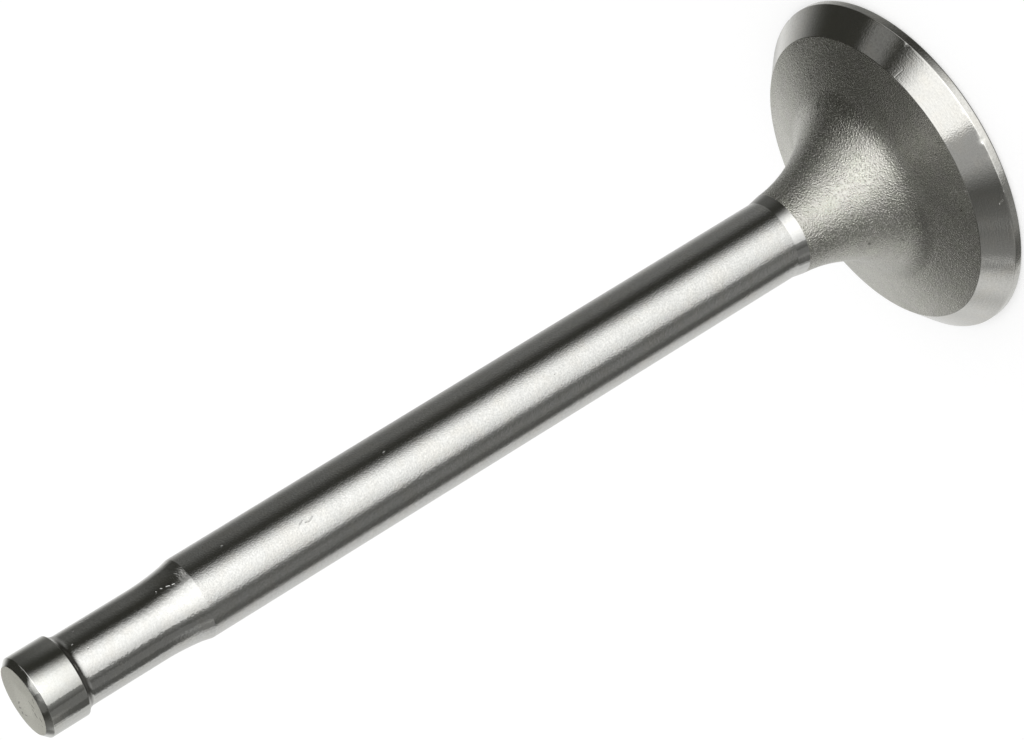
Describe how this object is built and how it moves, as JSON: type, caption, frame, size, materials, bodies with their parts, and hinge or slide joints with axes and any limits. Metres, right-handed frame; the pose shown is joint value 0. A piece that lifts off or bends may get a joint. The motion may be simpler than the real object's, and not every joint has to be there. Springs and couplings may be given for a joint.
{
  "type": "engine valve",
  "caption": "Poppet valve forged and ground in one piece: tulip head with a 45 degree sealing face, plain round stem, reduced keeper neck and chamfered tip.",
  "frame": {"origin": "centre of the flat head face, on which the valve can stand", "axes": "+Z along the stem axis from the head face to the tip; the valve is round about Z, so X and Y are free"},
  "size_m": [0.0478, 0.0478, 0.139],
  "materials": {
    "valve_steel": "ground stem and turned sealing face, shot-blasted tulip"
  },
  "bodies": {
    "root": {"valve": "valve_steel"}
  },
  "joints": []
}
